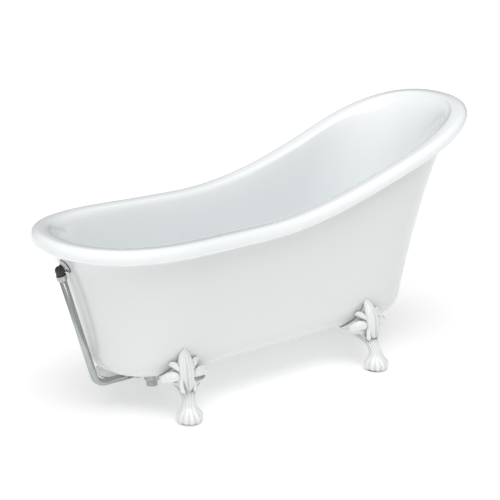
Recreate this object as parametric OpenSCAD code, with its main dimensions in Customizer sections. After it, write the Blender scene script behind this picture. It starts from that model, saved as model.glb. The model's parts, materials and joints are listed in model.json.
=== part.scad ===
// Freestanding slipper bath on four cast claw feet, double-skinned, with an exposed
// overflow pipe and a push-open waste. Millimetres, +Z up, +X towards the high head end.
// The origin is on the floor under the middle of the rim.

/* [Rim] */
// Length over the rim
bath_l = 1700; // [1500:10:1800]
// Width that the rim's end ovals would have without the waist
bath_w = 652; // [560:2:760]
// Height of the rim's crest along its low stretch
rim_low = 612; // [560:1:660]
// Height that the rim would climb over its whole sweep
rim_rise = 303; // [150:1:360]
// Width of the rolled rim
rim_w = 61; // [45:1:75]
// Height of the rolled rim's outer lip
lip_h = 48; // [36:1:60]
// Share by which the sides draw in at mid length
waist = 0.136; // [0:0.002:0.16]

/* [Body] */
// Length of the body where the wall meets the bottom curve
base_l = 1266; // [1200:1:1300]
// Width of the body there, without the waist
base_w = 474; // [450:1:490]
// Height of the underside of the body above the floor
bottom_z = 139; // [134:1:146]
// Height of the bottom curve
curve_h = 93; // [80:1:105]
// Depth of the bottom curve, measured inwards
curve_w = 62; // [56:1:68]
// Gap between the two skins at the base
skin_gap = 34; // [28:1:44]
// Thickness of the basin
basin_wall = 7; // [5:0.5:9]
// Thickness of the outer skin
skin_wall = 5; // [4:0.5:6]

/* [Feet] */
// Distance of the foot-end feet from mid length
front_foot_x = 478; // [465:1:490]
// Distance of the foot-end feet from the centre line
front_foot_y = 246; // [242:1:252]
// Angle by which the foot-end feet turn away from square
front_foot_turn = 22; // [16:1:28]
// Distance of the head-end feet from mid length
rear_foot_x = 302; // [280:1:320]
// Distance of the head-end feet from the centre line
rear_foot_y = 272; // [264:1:278]
// Angle by which the head-end feet turn away from square
rear_foot_turn = 2; // [0:1:8]

/* [Overflow and waste] */
// Outer diameter of the overflow pipe
pipe_d = 24; // [22:1:28]
// Height at which the overflow's axis meets the outer skin
overflow_z = 526; // [500:1:540]
// Height of the overflow pipe's level run
run_z = 98; // [96:1:104]
// Distance of the waste from mid length
drain_x = 460; // [430:1:500]
// Outer diameter of the outlet pipe
tail_d = 38.1; // [32:0.1:40]
// Travel of the push-open plug
plug_travel = 9; // [6:1:10]

/* [Hidden] */
$fn = 48;

// Oval outline shared by the rim, the base and the floor
end_foot = 422;
end_head = 396;
oval_power = 2.2;
straight_part = 0.35;
taper = -0.013;
base_x = -52;
// Sweep of the rim
rise_start = -183;
rise_l = 1329;
foot_lift = 16;
lift_start = -200;
lift_l = 650;
// Rim section
crest_at = 0.4;
inner_drop = 8;
shell_inset = 32;
shell_reach = 34;
wall_bow = 0.6;
// Basin
floor_z = bottom_z + 31.5;
basin_l = base_l - 2 * skin_gap;
basin_w = base_w - 2 * skin_gap;
// Board between the skins
board_t = 18;
board_z = bottom_z + skin_wall + 0.5;
board_inset = curve_w + skin_wall + 4;
service_r = 46;
// Sampling of the lofted skins
basin_sides = 60;
shell_sides = 52;

acrylic = [0.96, 0.97, 0.97];
enamel = [0.95, 0.95, 0.94];
chrome = [0.78, 0.80, 0.82];
black = [0.06, 0.06, 0.06];
timber = [0.72, 0.60, 0.44];
brass = [0.80, 0.66, 0.36];

// ---------- Outlines ----------

// Point of an oval at angle t, whose ends are rounded and whose sides draw in
function oval(t, half_l, half_w) =
  let (
    c = cos(t),
    q = abs(c),
    k = half_l / (bath_l / 2),
    e = (c < 0 ? end_foot : end_head) * k,
    turned = q < straight_part ? 0
      : 90 * (asin(min(q, 1)) - asin(straight_part)) / (90 - asin(straight_part)),
    x = q < straight_part ? (half_l - e) * q / straight_part
      : (half_l - e) + e * pow(sin(turned), 2 / oval_power),
    y = pow(max(cos(turned), 0), 2 / oval_power),
    along = sign(c) * x / half_l
  )
  [
    sign(c) * x,
    sign(sin(t)) * half_w * y * (1 - waist * (1 - along * along)) * (1 + taper * along)
  ];

// Outward direction of that oval at angle t
function oval_normal(t, half_l, half_w) =
  let (
    step = 1.5,
    d = oval(t + step, half_l, half_w) - oval(t - step, half_l, half_w)
  )
  [d.y, -d.x] / norm(d);

function rim_point(t) = oval(t, bath_l / 2, bath_w / 2);
function rim_normal(t) = oval_normal(t, bath_l / 2, bath_w / 2);
function base_point(t) = oval(t, base_l / 2, base_w / 2) + [base_x, 0];
function base_normal(t) = oval_normal(t, base_l / 2, base_w / 2);

// Height of the rim's crest at x
function rim_height(x) =
  let (
    u = min(max((x - rise_start) / rise_l, 0), 1),
    v = max(lift_start - x, 0) / lift_l
  )
  rim_low + rim_rise * (1 - cos(180 * u)) / 2 + foot_lift * v * v;

// Ring of the rim's section, inset from the lip and dropped from the crest
function rim_ring(t, inset, drop) =
  let (p = rim_point(t), q = p - rim_normal(t) * inset)
  [q.x, q.y, rim_height(p.x) - drop];

// Side wall between a top ring and a bottom ring, hollowed towards the top
function wall_ring(top, bottom, s) =
  let (k = pow(s, wall_bow))
  [top.x + (bottom.x - top.x) * k, top.y + (bottom.y - top.y) * k, top.z + (bottom.z - top.z) * s];

// Outer skin at angle t: g from 0 to 1 goes down the wall, and on to 2 round the bottom curve
function skin_ring(t, g, inward = 0) =
  let (n = base_normal(t), b = base_point(t))
  g <= 1
    ? let (
        top = rim_ring(t, shell_inset + inward, lip_h),
        foot = b - n * inward
      )
      wall_ring(top, [foot.x, foot.y, bottom_z + curve_h], g)
    : let (
        a = 90 * (g - 1),
        p = b - n * (curve_w * (1 - cos(a)) + inward * cos(a))
      )
      [p.x, p.y, bottom_z + curve_h * (1 - sin(a)) + inward * sin(a)];

// Basin at angle t, numbered like the outer skin; outward gives its back
function basin_ring(t, g, outward = 0) =
  let (
    half_l = basin_l / 2,
    half_w = basin_w / 2,
    n = oval_normal(t, half_l, half_w),
    b = oval(t, half_l, half_w) + [base_x, 0]
  )
  g <= 1
    ? let (
        top = rim_ring(t, rim_w - outward, inner_drop + outward),
        foot = b + n * outward
      )
      wall_ring(top, [foot.x, foot.y, floor_z + curve_h], g)
    : let (
        a = 90 * (g - 1),
        p = b - n * (curve_w * (1 - cos(a)) - outward * cos(a))
      )
      [p.x, p.y, floor_z + curve_h * (1 - sin(a)) - outward * sin(a)];

// ---------- Lofting ----------

// Closed solid through rings of equal length, capped at both ends with a fan
module loft(rings) {
  n = len(rings[0]);
  m = len(rings);
  middle = function (r) [for (i = [0:2]) let (s = [for (p = r) p[i]]) s * [for (p = r) 1] / n];
  points = concat([for (r = rings, p = r) p], [middle(rings[0]), middle(rings[m - 1])]);
  sides = [
    for (j = [0:m - 2], i = [0:n - 1])
      let (a = j * n + i, b = j * n + (i + 1) % n)
      each [[a, a + n, b + n], [a, b + n, b]]
  ];
  first_cap = [for (i = [0:n - 1]) [m * n, i, (i + 1) % n]];
  last_cap = [for (i = [0:n - 1]) [m * n + 1, (m - 1) * n + (i + 1) % n, (m - 1) * n + i]];
  polyhedron(points = points, faces = concat(sides, first_cap, last_cap), convexity = 8);
}

// Closed solid whose rings run out along it and come back inside, as in a tube
module band(rings) {
  n = len(rings[0]);
  m = len(rings);
  faces = [
    for (j = [0:m - 1], i = [0:n - 1])
      let (k = (i + 1) % n, a = j * n, b = (j + 1) % m * n)
      each [[a + i, b + i, b + k], [a + i, b + k, a + k]]
  ];
  polyhedron(points = [for (r = rings, p = r) p], faces = faces, convexity = 8);
}

function ring_of(sides, f) = [for (i = [0:sides - 1]) f(i * 360 / sides)];

// ---------- Places ----------

// Drawing plane turned upright: x stays, y becomes height
module upright() {
  rotate([90, 0, 0]) children();
}

// Frame of the waste, on its axis at floor level
module at_drain() {
  translate([-drain_x, 0, 0]) children();
}

// Point and lean of the outer skin on the centre line of the foot end
function skin_at_foot_end(z) =
  let (
    top = skin_ring(180, 0),
    bottom = skin_ring(180, 1),
    s = (top.z - z) / (top.z - bottom.z)
  )
  wall_ring(top, bottom, s);
overflow_at = skin_at_foot_end(overflow_z);
overflow_step = skin_at_foot_end(overflow_z + 4) - skin_at_foot_end(overflow_z - 4);
overflow_lean = atan2(-overflow_step.x, overflow_step.z);

// Frame of the overflow: origin on the outer skin, +Z straight out of it
module at_overflow() {
  translate(overflow_at) rotate([0, -90 - overflow_lean, 0]) children();
}

// Overflow stack, measured outwards from the skin
seat_out = -2;
skin_pad_in = -9;
basin_pad_out = -33.5;
basin_pad_in = -48;
elbow_out = 24;
pipe_lean = 16.1;
pipe_r = pipe_d / 2;
pipe_bore = pipe_r - 1.4;
bend_r = 46;
socket_r = pipe_r + 2.5;
nut_r = pipe_r + 5;
elbow_at = overflow_at + elbow_out * [-cos(overflow_lean), 0, -sin(overflow_lean)];

// Frame of the pipe's upper end: origin at the elbow's middle, +Z down the pipe
module at_pipe() {
  translate(elbow_at) rotate([0, 180 - pipe_lean, 0]) children();
}

// Feet: place on the floor, facing direction and side of the centre line
FEET = [
  ["front", -front_foot_x, front_foot_y, front_foot_turn],
  ["rear", rear_foot_x, rear_foot_y, rear_foot_turn]
];
foot_bolt_reach = 150;
foot_bolt_gap = 30;
arm_t = 12.5;
arm_w = 56;
arm_top = bottom_z - 0.1;
pad_t = 3;

// Places the children in a foot's frame: +X along the leaf's width, -Y outwards
module at_foot(foot, side) {
  scale([1, side, 1])
    translate([foot[1], -foot[2], 0])
      rotate([0, 0, -foot[3]])
        children();
}

// Same, for children that are symmetric about their own outward line
module foot_spots() {
  for (foot = FEET, side = [-1, 1])
    translate([foot[1], side * foot[2], 0])
      rotate([0, 0, side > 0 ? 180 + foot[3] : -foot[3]])
        children();
}

module bolt_spots() {
  foot_spots()
    for (u = [-1, 1])
      translate([u * foot_bolt_gap / 2, foot_bolt_reach, 0])
        children();
}

module tube(outer_r, inner_r, h) {
  difference() {
    cylinder(r = outer_r, h = h);
    translate([0, 0, -1]) cylinder(r = inner_r, h = h + 2);
  }
}

// ---------- Bath ----------

module basin_body() {
  wall_steps = [0.12, 0.25, 0.4, 0.56, 0.72, 0.87, 1];
  curve_steps = [1.25, 1.5, 1.75, 2];
  crest = crest_at * rim_w;
  lip_t = basin_wall;
  inside = concat(
    [for (k = [0.45, 0.8]) ring_of(basin_sides, function (t)
      let (p = basin_ring(t, 2)) [base_x + (p.x - base_x) * k, p.y * k, p.z])],
    [for (i = [3:-1:0]) ring_of(basin_sides, function (t) basin_ring(t, curve_steps[i]))],
    [for (i = [6:-1:0]) ring_of(basin_sides, function (t) basin_ring(t, wall_steps[i]))]
  );
  rim_top = concat(
    [for (a = [0:30:60]) ring_of(basin_sides, function (t)
      rim_ring(t, crest + (rim_w - crest) * cos(a), inner_drop * (1 - sin(a))))],
    [for (a = [90:-18:0]) ring_of(basin_sides, function (t)
      rim_ring(t, crest * (1 - cos(a)), lip_h / 2 * (1 - sin(a))))],
    [ring_of(basin_sides, function (t) rim_ring(t, 0, lip_h))]
  );
  rim_under = concat(
    [for (d = [lip_h, lip_h / 2]) ring_of(basin_sides, function (t) rim_ring(t, lip_t, d))],
    [ring_of(basin_sides, function (t) rim_ring(t, lip_t + 9, lip_t + 3))],
    [ring_of(basin_sides, function (t) rim_ring(t, crest + 6, lip_t))]
  );
  outside = concat(
    [for (g = concat([0], wall_steps, curve_steps)) ring_of(basin_sides, function (t)
      basin_ring(t, g, basin_wall))],
    [for (k = [0.8, 0.45]) ring_of(basin_sides, function (t)
      let (p = basin_ring(t, 2, basin_wall)) [base_x + (p.x - base_x) * k, p.y * k, p.z])]
  );
  loft(concat(inside, rim_top, rim_under, outside));
}

overflow_hole_r = 15;
drain_hole_r = 26;

module basin() {
  color(acrylic) difference() {
    union() {
      basin_body();
      at_overflow() translate([0, 0, basin_pad_in])
        cylinder(r = 33, h = basin_pad_out - basin_pad_in);
    }
    at_overflow() translate([0, 0, basin_pad_in - 20])
      cylinder(r = overflow_hole_r, h = 45);
    at_drain() translate([0, 0, floor_z - 30]) cylinder(r = drain_hole_r, h = 60);
  }
}

module outer_shell_body() {
  steps = [0.1, 0.22, 0.36, 0.52, 0.68, 0.84, 1, 1.22, 1.44, 1.66, 1.84, 2];
  floor_share = [0.5];
  top_out = ring_of(shell_sides, function (t) rim_ring(t, shell_inset, lip_h - shell_reach));
  top_in = ring_of(shell_sides, function (t)
    rim_ring(t, shell_inset + skin_wall, lip_h - shell_reach));
  n = len(steps);
  inside = concat(
    [for (k = floor_share) ring_of(shell_sides, function (t)
      let (p = skin_ring(t, 2, skin_wall)) [base_x + (p.x - base_x) * k, p.y * k, p.z])],
    [for (i = [n - 1:-1:0]) ring_of(shell_sides, function (t)
      skin_ring(t, steps[i], skin_wall))],
    [ring_of(shell_sides, function (t) skin_ring(t, 0, skin_wall))]
  );
  outside = concat(
    [for (g = concat([0], steps)) ring_of(shell_sides, function (t) skin_ring(t, g))],
    [for (k = floor_share) ring_of(shell_sides, function (t)
      let (p = skin_ring(t, 2)) [base_x + (p.x - base_x) * k, p.y * k, p.z])]
  );
  loft(concat(inside, [top_in, top_out], outside));
}

module outer_shell() {
  color(acrylic) difference() {
    union() {
      outer_shell_body();
      at_overflow() translate([0, 0, skin_pad_in])
        cylinder(r = 28, h = seat_out - skin_pad_in);
    }
    at_overflow() translate([0, 0, seat_out]) cylinder(r = 28, h = 20);
    at_overflow() translate([0, 0, skin_pad_in - 10]) cylinder(r = overflow_hole_r, h = 20);
    at_drain() translate([0, 0, bottom_z - 5]) cylinder(r = service_r, h = 20);
    bolt_spots() translate([0, 0, bottom_z - 5]) cylinder(r = 4.5, h = 15);
  }
}

module base_board() {
  half_l = base_l / 2;
  half_w = base_w / 2;
  outline = [
    for (i = [0:39])
      let (t = i * 9, p = oval(t, half_l, half_w) - oval_normal(t, half_l, half_w) * board_inset)
      [p.x + base_x, p.y]
  ];
  color(timber) difference() {
    translate([0, 0, board_z]) linear_extrude(board_t) polygon(outline);
    at_drain() translate([0, 0, board_z - 1]) cylinder(r = service_r, h = board_t + 2);
    bolt_spots() translate([0, 0, board_z - 1]) cylinder(r = 6, h = board_t + 2);
  }
}

// ---------- Feet ----------

// Sections of the foot from the paw upwards: height, half width, and how far inwards its
// front, its back and its two sides lie
paw_sections = [
  [3, 34, -40, 36, 0],
  [9, 42, -46, 38, 0],
  [22, 45, -48, 38, 0],
  [34, 42, -42, 34, 0],
  [46, 32, -28, 28, 0],
  [58, 25, -18, 26, 0],
  [74, 22, -14, 24, 2],
  [90, 24, -18, 26, 4],
  [102, 31, -22, 34, 12],
  [112, 43, -25, 44, 22],
  [121, 58, -27, 52, 36],
  [130, 74, -28, 56, 48]
];
foot_points = 26;

// Leg section: a ring with shallow flutes all round it, moved in by the drift
function leg_ring(section, drift) =
  [
    for (i = [0:foot_points - 1])
      let (
        a = i * 360 / foot_points,
        flute = 1 + 0.03 * cos(13 * a),
        end = sin(a) < 0 ? section[2] : section[3]
      )
      [
        section[1] * cos(a) * flute,
        section[4] + (end - section[4]) * abs(sin(a)) * flute + drift,
        section[0]
      ]
  ];

// Knee on the skin: levels round the bottom curve and up the wall, half width and thickness
knee_levels = [
  [1.92, 82, 84],
  [1.84, 84, 82],
  [1.66, 74, 73],
  [1.44, 44, 58],
  [1.22, 25, 40],
  [1.08, 15, 22],
  [1, 6, 7]
];

// Outline of the skin in a foot's own frame, as pairs of sideways distance and oval angle
function skin_angles(foot) =
  let (middle = foot[1] < 0 ? 246 : 292)
  [
    for (t = [middle - 34:2:middle + 34])
      let (p = base_point(t) - [foot[1], -foot[2]])
      [cos(foot[3]) * p.x - sin(foot[3]) * p.y, t]
  ];

function to_foot(foot, p) =
  let (q = [p.x - foot[1], p.y + foot[2]], c = cos(foot[3]), s = sin(foot[3]))
  [c * q.x - s * q.y, s * q.x + c * q.y, p.z];

// Knee section: its back lies on the skin, its front swells out and falls off to the sides
function knee_ring(foot, angles, level) =
  let (half = foot_points / 2)
  [
    for (i = [0:foot_points - 1])
      let (
        a = i * 360 / foot_points,
        u = level[1] * cos(a),
        p = to_foot(foot, skin_ring(lookup(u, angles), level[0])),
        swell = i <= half ? 0 : 2 + level[2] * pow(abs(sin(a)), 1.4)
      )
      [p.x, p.y - 0.8 - swell, p.z - 0.4]
  ];

module claw_foot(foot) {
  angles = skin_angles(foot);
  wall = to_foot(foot, skin_ring(lookup(0, angles), 1)).y;
  drift = function (z) wall * pow(min(max(z - 60, 0) / 60, 1), 1.5);
  legs = [for (s = paw_sections) leg_ring(s, drift(s[0]))];
  knees = [for (level = knee_levels) knee_ring(foot, angles, level)];
  difference() {
    union() {
      loft(concat(legs, knees));
      translate([-arm_w / 2, wall - 20, arm_top - arm_t])
        cube([arm_w, foot_bolt_reach + 18 - wall + 20, arm_t]);
    }
    for (u = [-1, 1])
      translate([u * foot_bolt_gap / 2, foot_bolt_reach, arm_top - arm_t - 1])
        cylinder(r = 4.5, h = arm_t + 2);
  }
}

// A left foot stands at +Y, which is the mirror image of a right foot
module placed_foot(foot, left) {
  color(enamel) mirror([0, left ? 1 : 0, 0])
    translate([foot[1], -foot[2], 0])
      rotate([0, 0, -foot[3]])
        claw_foot(foot);
}

module foot_front_left() {
  placed_foot(FEET[0], true);
}

module foot_front_right() {
  placed_foot(FEET[0], false);
}

module foot_rear_left() {
  placed_foot(FEET[1], true);
}

module foot_rear_right() {
  placed_foot(FEET[1], false);
}

module foot_pads() {
  color(black) foot_spots() cylinder(r = 31, h = pad_t);
}

washer_t = 1.6;
module foot_washers() {
  color(chrome) bolt_spots()
    translate([0, 0, arm_top - arm_t - washer_t]) tube(8.5, 4.2, washer_t);
}

module foot_bolts() {
  head_t = 5.3;
  under = arm_top - arm_t - washer_t;
  color(chrome) bolt_spots() {
    translate([0, 0, under - head_t]) cylinder(r = 7.5, h = head_t, $fn = 6);
    translate([0, 0, under - 0.5]) cylinder(r = 4, h = board_z + 15 - under);
  }
}

module foot_inserts() {
  color(brass) bolt_spots() translate([0, 0, board_z + 1]) tube(6, 4, 15);
}

// ---------- Overflow ----------

module overflow_sleeve() {
  color(chrome) at_overflow() translate([0, 0, basin_pad_out])
    tube(18.5, overflow_hole_r, skin_pad_in - basin_pad_out);
}

module overflow_inner_gasket() {
  color(black) at_overflow() translate([0, 0, basin_pad_in - 3]) tube(29, overflow_hole_r, 3);
}

grille_r = 33;
module overflow_grille() {
  holes = 8;
  color(chrome) at_overflow() translate([0, 0, basin_pad_in - 3]) mirror([0, 0, 1])
    difference() {
      union() {
        cylinder(r = grille_r, h = 2);
        translate([0, 0, 2]) cylinder(r1 = grille_r, r2 = grille_r - 3, h = 1.5);
      }
      translate([0, 0, -1]) cylinder(r = 3.2, h = 6);
      for (i = [0:holes - 1])
        rotate([0, 0, i * 360 / holes]) translate([8.4, 0, -1]) cylinder(r = 2.2, h = 6);
    }
}

module overflow_screw() {
  color(chrome) at_overflow() translate([0, 0, basin_pad_in - 6.5]) {
    translate([0, 0, -2.6]) cylinder(r1 = 4, r2 = 6, h = 2.6);
    translate([0, 0, -0.5]) cylinder(r = 3, h = 24);
  }
}

module overflow_outer_gasket() {
  color(black) at_overflow() translate([0, 0, seat_out]) tube(26, overflow_hole_r, 3);
}

neck_out = 12;
module overflow_flange() {
  color(chrome) at_overflow() {
    difference() {
      union() {
        translate([0, 0, basin_pad_in - 2.8]) cylinder(r = 14.5, h = 5 - basin_pad_in);
        translate([0, 0, 1]) cylinder(r = 24, h = 3);
        translate([0, 0, 4]) cylinder(r1 = 24, r2 = 15, h = 6);
        translate([0, 0, 9]) cylinder(r = 15, h = neck_out - 9);
      }
      translate([0, 0, basin_pad_in - 4]) cylinder(r = 11.5, h = 70);
    }
    difference() {
      translate([-12, -4, basin_pad_in + 3]) cube([24, 8, 9]);
      translate([0, 0, basin_pad_in + 2]) cylinder(r = 3, h = 11);
    }
  }
}

elbow_bore = 10;
spigot_l = 30;
nut_start = 17;
nut_l = 20;
module overflow_elbow() {
  color(black) difference() {
    union() {
      translate(elbow_at) sphere(r = 15);
      at_overflow() translate([0, 0, neck_out]) cylinder(r = 14, h = elbow_out - neck_out);
      at_pipe() cylinder(r = socket_r - 0.1, h = spigot_l);
    }
    translate(elbow_at) sphere(r = elbow_bore + 1);
    at_overflow() translate([0, 0, 5]) cylinder(r = elbow_bore, h = elbow_out - 5);
    at_pipe() cylinder(r = elbow_bore, h = spigot_l + 1);
    at_pipe() translate([0, 0, 18]) cylinder(r = pipe_r + 0.1, h = spigot_l);
  }
}

// Compression nut over a socket end, with a shoulder that presses the olive
module compression_nut() {
  flats = 8;
  difference() {
    union() {
      cylinder(r = nut_r, h = nut_l - 5);
      translate([0, 0, nut_l - 5]) cylinder(r1 = nut_r, r2 = nut_r - 2.5, h = 5);
      for (i = [0:flats - 1])
        rotate([0, 0, i * 360 / flats]) translate([nut_r - 0.6, 0, 2]) cylinder(r = 1.6, h = 9);
    }
    translate([0, 0, -1]) cylinder(r = socket_r, h = nut_l - 3);
    translate([0, 0, -1]) cylinder(r = pipe_r + 0.15, h = nut_l + 2);
  }
}

module overflow_nut() {
  color(chrome) at_pipe() translate([0, 0, nut_start]) compression_nut();
}

module overflow_olive() {
  color(black) at_pipe() translate([0, 0, spigot_l]) tube(socket_r - 0.1, pipe_r, 3);
}

pipe_start = 18.5;
turn = 90 - pipe_lean;
bend_cut = bend_r * tan(turn / 2);
pipe_sides = 28;
bend_steps = 9;
bend_end_x = elbow_at.x + (elbow_at.z - run_z) * tan(pipe_lean) + bend_cut;
socket_mouth_x = -drain_x - 58;
pipe_end_x = socket_mouth_x + spigot_l - 18.5;

// Ring round the pipe at a point of its centre line, where the line falls at an angle
function pipe_ring(at, fall, r) =
  [
    for (i = [0:pipe_sides - 1])
      let (a = i * 360 / pipe_sides, out = r * cos(a))
      [at.x - out * sin(fall), r * sin(a), at.z - out * cos(fall)]
  ];

// All of the pipe's rings: the straight, the bend and the level run
function pipe_rings(r) =
  let (
    fall = 90 - pipe_lean,
    along = [cos(fall), 0, -sin(fall)],
    middle = [bend_end_x, 0, run_z + bend_r]
  )
  concat(
    [pipe_ring(elbow_at + pipe_start * along, fall, r)],
    [
      for (j = [0:bend_steps])
        let (a = fall * (1 - j / bend_steps))
        pipe_ring(middle - bend_r * [sin(a), 0, cos(a)], a, r)
    ],
    [pipe_ring([pipe_end_x, 0, run_z], 0, r)]
  );

module overflow_pipe() {
  color(chrome) band(concat(
    pipe_rings(pipe_r),
    [for (rings = [pipe_rings(pipe_bore)], j = [len(rings) - 1:-1:0]) rings[j]]
  ));
}

// ---------- Waste ----------

flange_top = floor_z + 5;
body_top = floor_z - basin_wall - 4;
body_bottom = 74;
tube_r = 25;
tube_bore = 21;
ledge_z = floor_z - 33;

module drain_gasket() {
  color(black) at_drain() translate([0, 0, floor_z]) tube(34, 26, 2);
}

module drain_flange() {
  color(chrome) at_drain() difference() {
    union() {
      translate([0, 0, floor_z + 2]) cylinder(r = 35, h = 1.2);
      translate([0, 0, floor_z + 3.2]) cylinder(r1 = 35, r2 = 32.5, h = 1.8);
      translate([0, 0, ledge_z - 4]) cylinder(r = tube_r, h = floor_z + 3 - ledge_z + 4);
    }
    translate([0, 0, flange_top - 2]) cylinder(r = 28, h = 4);
    translate([0, 0, ledge_z]) cylinder(r = tube_bore, h = 50);
    translate([0, 0, ledge_z - 5]) cylinder(r = 18, h = 8);
  }
}

module waste_washer() {
  color(black) at_drain() translate([0, 0, body_top]) tube(37, 25.2, 4);
}

module waste_body() {
  inlet_l = socket_mouth_x + drain_x;
  color(chrome) difference() {
    union() {
      at_drain() translate([0, 0, body_top - 4]) cylinder(r = 38, h = 4);
      at_drain() translate([0, 0, 82]) cylinder(r = 29, h = body_top - 85);
      at_drain() translate([0, 0, body_bottom]) cylinder(r = 22, h = 10);
      translate([-drain_x, 0, run_z]) rotate([0, -90, 0]) cylinder(r = socket_r - 0.1, h = -inlet_l);
    }
    at_drain() translate([0, 0, ledge_z - 5]) cylinder(r = tube_r + 0.05, h = 60);
    at_drain() translate([0, 0, 85]) cylinder(r = 22, h = 60);
    at_drain() translate([0, 0, body_bottom - 1]) cylinder(r = 16, h = 60);
    translate([-drain_x, 0, run_z]) rotate([0, -90, 0]) cylinder(r = elbow_bore, h = 70);
    translate([-drain_x - 40, 0, run_z]) rotate([0, -90, 0]) cylinder(r = pipe_r + 0.1, h = 30);
  }
}

module waste_inlet_nut() {
  color(chrome) translate([socket_mouth_x + spigot_l - nut_start, 0, run_z])
    rotate([0, -90, 0]) compression_nut();
}

module waste_inlet_olive() {
  color(black) translate([socket_mouth_x, 0, run_z]) rotate([0, -90, 0])
    tube(socket_r - 0.1, pipe_r, 3);
}

tail_r = tail_d / 2;
tail_bottom = 42;
module tail_gasket() {
  color(black) at_drain() translate([0, 0, body_bottom - 2]) tube(22, 16, 2);
}

module tailpiece() {
  color(chrome) at_drain() difference() {
    union() {
      translate([0, 0, tail_bottom]) cylinder(r = tail_r, h = 60 - tail_bottom);
      translate([0, 0, 59]) cylinder(r = tail_r - 0.25, h = body_bottom - 61);
      translate([0, 0, body_bottom - 4.5]) cylinder(r = 22, h = 2.5);
    }
    translate([0, 0, tail_bottom - 1]) cylinder(r = tail_r - 1.5, h = 80);
  }
}

module tail_nut() {
  color(chrome) at_drain() difference() {
    union() {
      translate([0, 0, 64]) cylinder(r = 27, h = 17);
      translate([0, 0, 61]) cylinder(r1 = 24, r2 = 27, h = 3);
    }
    translate([0, 0, body_bottom - 4.5]) cylinder(r = 22.1, h = 20);
    translate([0, 0, 60]) cylinder(r = tail_r + 0.2, h = 30);
  }
}

// ---------- Plug ----------

stem_r = 4;
hub_top = ledge_z + 10;
cap_under = flange_top + 0.5 + plug_travel;

module plug_cartridge() {
  color(chrome) at_drain() difference() {
    union() {
      translate([0, 0, ledge_z]) tube(20.9, 18.4, 5);
      for (a = [0:120:240])
        rotate([0, 0, a]) translate([0, -1.5, ledge_z]) cube([19.5, 3, 5]);
      translate([0, 0, ledge_z]) cylinder(r = 8, h = 10);
    }
    translate([0, 0, ledge_z - 1]) cylinder(r = stem_r + 0.05, h = 20);
  }
}

spring_turns = 5;
spring_r = 5.9;
wire_r = 0.7;
spring_low = hub_top + wire_r + 0.1;
spring_high = cap_under - 12 - wire_r - 0.1;

module plug_spring() {
  per_turn = 14;
  wire_sides = 6;
  count = spring_turns * per_turn;
  rings = [
    for (j = [0:count])
      let (turned = j * 360 / per_turn, z = spring_low + (spring_high - spring_low) * j / count)
      [
        for (i = [0:wire_sides - 1])
          let (a = i * 360 / wire_sides, r = spring_r + wire_r * cos(a))
          [r * cos(turned), r * sin(turned), z + wire_r * sin(a)]
      ]
  ];
  color(chrome) at_drain() loft(rings);
}

module plug_stem() {
  foot_z = ledge_z - 4.3;
  color(chrome) at_drain() {
    translate([0, 0, foot_z]) cylinder(r = stem_r, h = cap_under - 4 - foot_z);
    translate([0, 0, foot_z]) cylinder(r = 6, h = 4);
  }
}

module plug_cap() {
  color(chrome) at_drain() difference() {
    union() {
      translate([0, 0, cap_under]) cylinder(r = 31, h = 2);
      translate([0, 0, cap_under + 2]) cylinder(r1 = 31, r2 = 27, h = 2);
      translate([0, 0, cap_under + 4]) cylinder(r1 = 27, r2 = 14, h = 1.5);
      translate([0, 0, cap_under - 12]) cylinder(r = 7.5, h = 12.5);
      translate([0, 0, cap_under - 2]) cylinder(r = 23, h = 2.5);
    }
    translate([0, 0, cap_under - 13]) cylinder(r = stem_r, h = 9);
  }
}

module plug_seal() {
  color(black) at_drain() translate([0, 0, cap_under - 2]) tube(27, 23, 2);
}

basin();
outer_shell();
base_board();
foot_front_left();
foot_front_right();
foot_rear_left();
foot_rear_right();
foot_pads();
foot_bolts();
foot_washers();
foot_inserts();
overflow_grille();
overflow_screw();
overflow_inner_gasket();
overflow_sleeve();
overflow_outer_gasket();
overflow_flange();
overflow_elbow();
overflow_nut();
overflow_olive();
overflow_pipe();
drain_flange();
drain_gasket();
waste_washer();
waste_body();
waste_inlet_nut();
waste_inlet_olive();
tail_gasket();
tail_nut();
tailpiece();
plug_cartridge();
plug_spring();
plug_stem();
plug_cap();
plug_seal();
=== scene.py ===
"""Looks of a freestanding slipper bath on four claw feet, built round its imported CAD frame."""

from __future__ import annotations

import json
import logging
import math
from dataclasses import dataclass, field
from enum import Enum
from typing import Callable, Sequence

import bmesh
import bpy
from mathutils import Matrix, Vector

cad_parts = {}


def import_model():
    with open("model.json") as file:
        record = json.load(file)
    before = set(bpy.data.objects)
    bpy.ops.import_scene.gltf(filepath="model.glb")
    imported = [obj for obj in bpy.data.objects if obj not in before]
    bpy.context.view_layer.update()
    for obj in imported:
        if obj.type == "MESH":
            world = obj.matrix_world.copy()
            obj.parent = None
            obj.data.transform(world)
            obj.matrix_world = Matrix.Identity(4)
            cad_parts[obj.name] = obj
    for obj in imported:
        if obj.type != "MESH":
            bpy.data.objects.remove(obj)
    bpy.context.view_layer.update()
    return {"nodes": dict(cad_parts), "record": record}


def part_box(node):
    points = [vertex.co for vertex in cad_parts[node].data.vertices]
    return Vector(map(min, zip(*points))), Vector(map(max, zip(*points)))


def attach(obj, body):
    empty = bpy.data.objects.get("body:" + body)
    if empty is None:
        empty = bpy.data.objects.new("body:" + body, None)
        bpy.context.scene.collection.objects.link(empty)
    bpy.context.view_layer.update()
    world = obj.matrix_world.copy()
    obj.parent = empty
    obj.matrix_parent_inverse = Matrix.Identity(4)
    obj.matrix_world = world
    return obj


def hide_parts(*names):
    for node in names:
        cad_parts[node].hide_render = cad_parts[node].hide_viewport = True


log = logging.getLogger("bath")

Ring = list[Vector]
TUB = "tub"
PLUG = "plug"


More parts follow.
